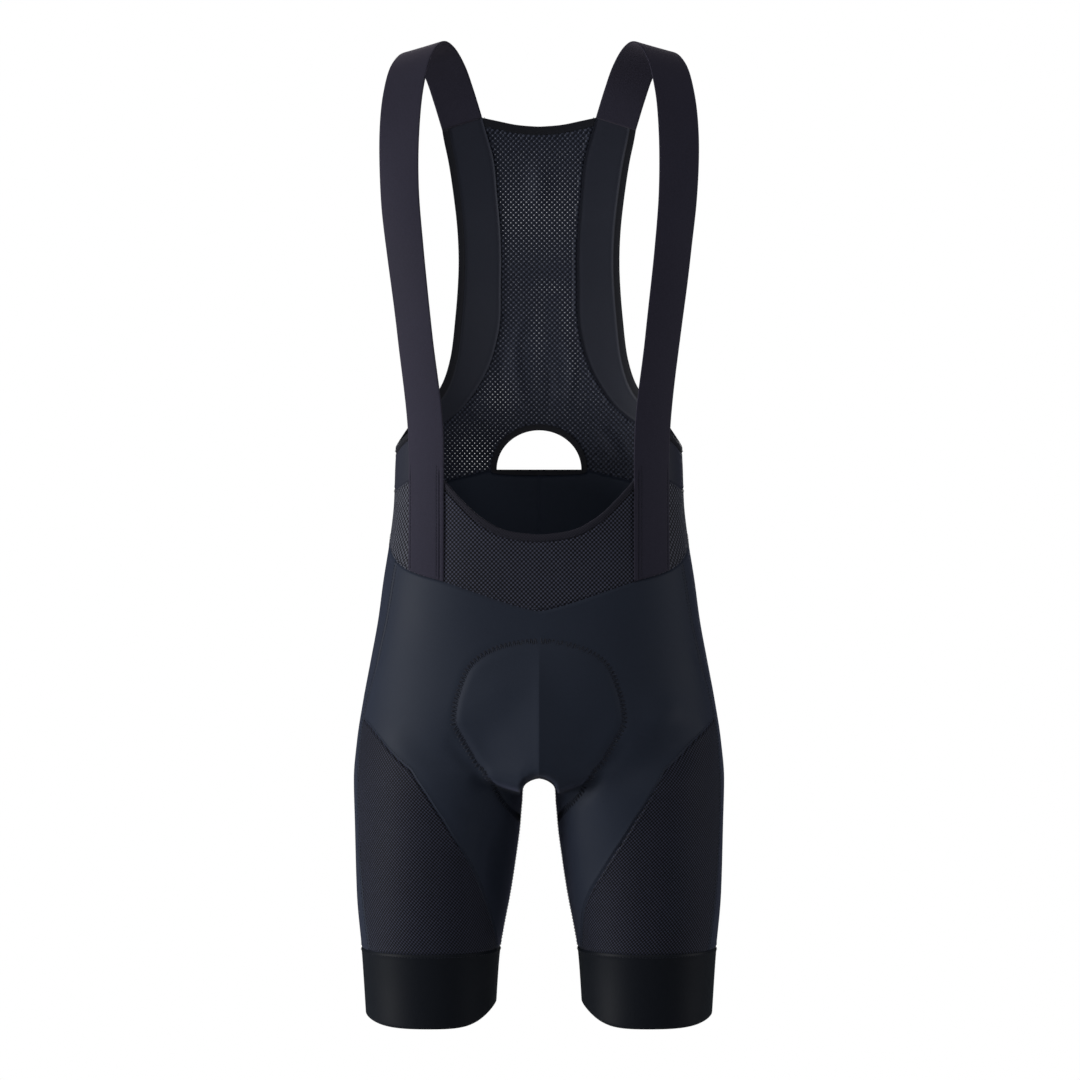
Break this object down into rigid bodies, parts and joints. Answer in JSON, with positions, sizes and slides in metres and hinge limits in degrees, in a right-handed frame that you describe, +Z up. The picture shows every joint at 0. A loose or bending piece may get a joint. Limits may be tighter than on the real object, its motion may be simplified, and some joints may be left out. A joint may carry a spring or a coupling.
{
  "type": "cycling bib shorts",
  "caption": "Close-fitting cycling bib shorts, filled out as worn: hollow waist and legs, wide elastic shoulder straps, mesh back with a small vent, gripper cuffs and a seat pad.",
  "frame": {"origin": "on the centre plane, where the wearer's shoulders carry the straps, 4 mm under the top line of the straps", "axes": "+Z up as worn, +X to the wearer's left, -Y to the front of the garment"},
  "size_m": [0.347, 0.233, 0.9196],
  "materials": {
    "dense_mesh": "dark navy fine mesh, matt",
    "mesh_hem": "dark navy fine mesh turned double and stitched",
    "webbing": "soft ribbed elastic webbing, charcoal, matt",
    "open_mesh": "dark navy see-through mesh",
    "smooth_knit": "dark navy smooth stretch knit with a slight sheen",
    "binding": "black folded stretch binding",
    "fine_mesh": "dark navy fine textured mesh",
    "gripper_band": "near-black smooth elastic band",
    "pad": "dark soft padding, matt"
  },
  "bodies": {
    "root": {"belly_panel": "dense_mesh", "belly_hem": "mesh_hem", "strap_left": "webbing", "strap_right": "webbing", "side_mesh_left": "open_mesh", "side_mesh_right": "open_mesh", "side_band_left": "smooth_knit", "side_band_right": "smooth_knit", "back_mesh": "open_mesh", "neck_binding": "binding", "armhole_binding_left": "binding", "armhole_binding_right": "binding", "vent_binding": "binding", "front_panel_left": "smooth_knit", "front_panel_right": "smooth_knit", "back_panel_left": "smooth_knit", "back_panel_right": "smooth_knit", "leg_mesh_left": "fine_mesh", "leg_mesh_right": "fine_mesh", "cuff_left": "gripper_band", "cuff_right": "gripper_band", "seat_pad": "pad"}
  },
  "joints": []
}
